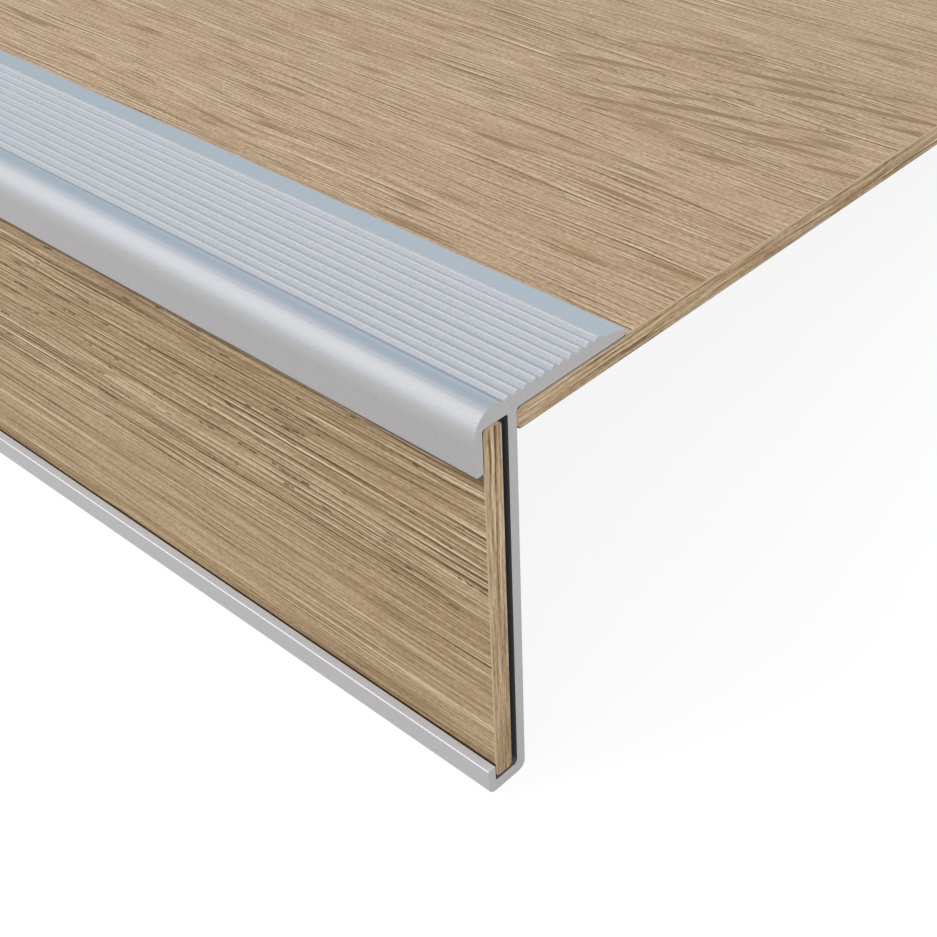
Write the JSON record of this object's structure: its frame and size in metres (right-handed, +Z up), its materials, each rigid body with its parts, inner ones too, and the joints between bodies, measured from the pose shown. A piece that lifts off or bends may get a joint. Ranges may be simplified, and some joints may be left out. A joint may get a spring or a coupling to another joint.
{
  "type": "stair tread with nosing",
  "caption": "Stair edge covering: a ribbed aluminium nosing with a wood-look vinyl tread plank behind it and a fascia strip of the same plank held in its front hook.",
  "frame": {"origin": "on the floor, under the middle of the part's footprint, at mid length", "axes": "+X along the stair's edge, +Y from the nosing back to the tread plank's rear edge, +Z up; the part lies back 15.75 degrees from its place on a stair, on the nosing's heel and the plank's rear edge"},
  "size_m": [1, 0.323, 0.0914],
  "materials": {
    "anodised_aluminium": "satin",
    "oak_look_vinyl": "matte"
  },
  "bodies": {
    "root": {"nosing_profile": "anodised_aluminium", "tread_plank": "oak_look_vinyl", "fascia_strip": "oak_look_vinyl"}
  },
  "joints": []
}
